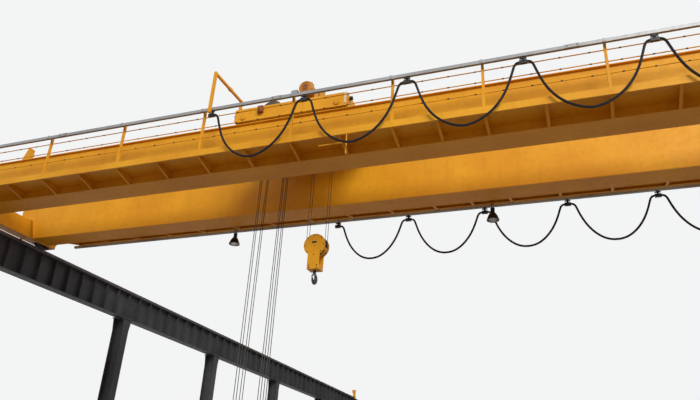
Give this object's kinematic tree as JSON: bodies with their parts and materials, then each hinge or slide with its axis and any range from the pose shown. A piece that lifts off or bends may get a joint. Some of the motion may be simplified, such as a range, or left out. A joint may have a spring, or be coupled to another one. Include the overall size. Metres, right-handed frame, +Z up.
{
  "type": "overhead bridge crane on a runway",
  "caption": "Double girder overhead travelling crane with a two-hook trolley, walkways and cable festoons, on a free-standing steel runway.",
  "frame": {"origin": "middle of the runway on the floor, halfway between the two crane rails", "axes": "+X along the girders, +Y along the runway, +Z up"},
  "size_m": [23.36, 36.56, 10.3568],
  "materials": {
    "crane_yellow_paint": "satin",
    "runway_grey_paint": "satin",
    "worn_steel": "satin",
    "dark_steel": "matte",
    "track_zinc": "matte",
    "motor_paint": "satin",
    "lamp_black": "satin",
    "bar_copper": "matte",
    "wire_rope": "matte",
    "cable_black": "matte"
  },
  "bodies": {
    "runway": {"left_columns": "runway_grey_paint", "right_columns": "runway_grey_paint", "left_runway_beam": "runway_grey_paint", "right_runway_beam": "runway_grey_paint", "left_crane_rail": "worn_steel", "right_crane_rail": "worn_steel", "runway_end_stops": "crane_yellow_paint", "conductor_bars": "bar_copper"},
    "bridge": {"near_girder": "crane_yellow_paint", "far_girder": "crane_yellow_paint", "left_end_carriage": "crane_yellow_paint", "right_end_carriage": "crane_yellow_paint", "trolley_rails": "worn_steel", "near_walkway": "crane_yellow_paint", "far_walkway": "crane_yellow_paint", "near_railing": "crane_yellow_paint", "far_railing": "crane_yellow_paint", "near_festoon_track": "track_zinc", "far_festoon_track": "track_zinc", "left_travel_drive": "motor_paint", "right_travel_drive": "motor_paint", "collector_bracket": "dark_steel", "bridge_lamps": "lamp_black"},
    "near_bridge_wheels": {"left_near_wheel": "dark_steel", "right_near_wheel": "dark_steel"},
    "far_bridge_wheels": {"left_far_wheel": "dark_steel", "right_far_wheel": "dark_steel"},
    "trolley": {"trolley_frame": "crane_yellow_paint", "main_hoist_drive": "motor_paint", "aux_hoist_drive": "motor_paint", "trolley_drive": "motor_paint", "near_tow_arm": "crane_yellow_paint", "far_tow_arm": "crane_yellow_paint", "upper_sheaves": "dark_steel", "main_ropes": "wire_rope", "aux_ropes": "wire_rope"},
    "idle_wheels": {"idle_wheels": "dark_steel"},
    "drive_wheels": {"drive_wheels": "dark_steel"},
    "main_drum": {"main_drum": "motor_paint"},
    "aux_drum": {"aux_drum": "motor_paint"},
    "main_block": {"main_hook_block": "crane_yellow_paint", "main_sheaves": "dark_steel"},
    "main_hook": {"main_hook": "dark_steel"},
    "aux_block": {"aux_hook_block": "crane_yellow_paint", "aux_sheaves": "dark_steel"},
    "aux_hook": {"aux_hook": "dark_steel"},
    "festoon_1": {"festoon_carriers_1": "dark_steel", "festoon_loops_1": "cable_black"},
    "festoon_2": {"festoon_carriers_2": "dark_steel", "festoon_loops_2": "cable_black"},
    "festoon_3": {"festoon_carriers_3": "dark_steel", "festoon_loops_3": "cable_black"},
    "festoon_4": {"festoon_carriers_4": "dark_steel", "festoon_loops_4": "cable_black"},
    "festoon_5": {"festoon_carriers_5": "dark_steel", "festoon_loops_5": "cable_black"},
    "festoon_6": {"festoon_carriers_6": "dark_steel", "festoon_loops_6": "cable_black"}
  },
  "joints": [
    {"name": "bridge_travel", "type": "slide", "parent": "runway", "child": "bridge", "axis": [0, 1, 0], "range_m": [-3.8, 27.4]},
    {"name": "near_wheel_spin", "type": "hinge", "parent": "bridge", "child": "near_bridge_wheels", "pos_m": [0, -13.4, 8.25], "axis": [1, 0, 0], "range_deg": [-6290, 880]},
    {"name": "far_wheel_spin", "type": "hinge", "parent": "bridge", "child": "far_bridge_wheels", "pos_m": [0, -10.2, 8.25], "axis": [1, 0, 0], "range_deg": [-6290, 880]},
    {"name": "trolley_travel", "type": "slide", "parent": "bridge", "child": "trolley", "axis": [1, 0, 0], "range_m": [-5.9, 9.6]},
    {"name": "idle_wheel_spin", "type": "hinge", "parent": "trolley", "child": "idle_wheels", "pos_m": [-2.89, -11.8, 9.482], "axis": [0, 1, 0], "range_deg": [-1940, 3150]},
    {"name": "drive_wheel_spin", "type": "hinge", "parent": "trolley", "child": "drive_wheels", "pos_m": [-0.55, -11.8, 9.482], "axis": [0, 1, 0], "range_deg": [-1940, 3150]},
    {"name": "main_hoist", "type": "slide", "parent": "trolley", "child": "main_block", "axis": [0, 0, 1], "range_m": [-1.4, 5.6], "deforming": ["main_ropes"]},
    {"name": "main_drum_spin", "type": "hinge", "parent": "trolley", "child": "main_drum", "pos_m": [-2.58, -11.8, 10.052], "axis": [0, 1, 0], "range_deg": [-1200, 4650]},
    {"name": "main_hook_swivel", "type": "hinge", "parent": "main_block", "child": "main_hook", "pos_m": [-2.58, -11.8, 2.04], "axis": [0, 0, 1], "continuous": true},
    {"name": "aux_hoist", "type": "slide", "parent": "trolley", "child": "aux_block", "axis": [0, 0, 1], "range_m": [-5.6, 1.9], "deforming": ["aux_ropes"]},
    {"name": "aux_drum_spin", "type": "hinge", "parent": "trolley", "child": "aux_drum", "pos_m": [-1.34, -11.8, 9.982], "axis": [0, 1, 0], "range_deg": [-2900, 1000]},
    {"name": "aux_hook_swivel", "type": "hinge", "parent": "aux_block", "child": "aux_hook", "pos_m": [-1.34, -11.8, 6.05], "axis": [0, 0, 1], "continuous": true},
    {"name": "festoon_6_slide", "type": "slide", "parent": "bridge", "child": "festoon_6", "axis": [1, 0, 0], "range_m": [-1, 1.62], "deforming": ["festoon_loops_6"]},
    {"name": "festoon_5_slide", "type": "slide", "parent": "festoon_6", "child": "festoon_5", "axis": [1, 0, 0], "range_m": [-1, 1.62], "deforming": ["festoon_loops_5"]},
    {"name": "festoon_4_slide", "type": "slide", "parent": "festoon_5", "child": "festoon_4", "axis": [1, 0, 0], "range_m": [-1, 1.62], "deforming": ["festoon_loops_4"]},
    {"name": "festoon_3_slide", "type": "slide", "parent": "festoon_4", "child": "festoon_3", "axis": [1, 0, 0], "range_m": [-1, 1.62], "deforming": ["festoon_loops_3"]},
    {"name": "festoon_2_slide", "type": "slide", "parent": "festoon_3", "child": "festoon_2", "axis": [1, 0, 0], "range_m": [-1, 1.62], "deforming": ["festoon_loops_2"]},
    {"name": "festoon_1_slide", "type": "slide", "parent": "festoon_2", "child": "festoon_1", "axis": [1, 0, 0], "range_m": [-1, 1.62], "deforming": ["festoon_loops_1"]}
  ],
  "couplings": [
    {"joint": "near_wheel_spin", "follows": "bridge_travel", "rad_per_m": -4},
    {"joint": "far_wheel_spin", "follows": "bridge_travel", "rad_per_m": -4},
    {"joint": "idle_wheel_spin", "follows": "trolley_travel", "rad_per_m": 5.7143},
    {"joint": "drive_wheel_spin", "follows": "trolley_travel", "rad_per_m": 5.7143},
    {"joint": "main_drum_spin", "follows": "main_hoist", "rad_per_m": 14.286},
    {"joint": "aux_drum_spin", "follows": "aux_hoist", "rad_per_m": 8.8889},
    {"joint": "festoon_6_slide", "follows": "trolley_travel", "ratio": 0.16667},
    {"joint": "festoon_5_slide", "follows": "trolley_travel", "ratio": 0.16667},
    {"joint": "festoon_4_slide", "follows": "trolley_travel", "ratio": 0.16667},
    {"joint": "festoon_3_slide", "follows": "trolley_travel", "ratio": 0.16667},
    {"joint": "festoon_2_slide", "follows": "trolley_travel", "ratio": 0.16667},
    {"joint": "festoon_1_slide", "follows": "trolley_travel", "ratio": 0.16667}
  ]
}
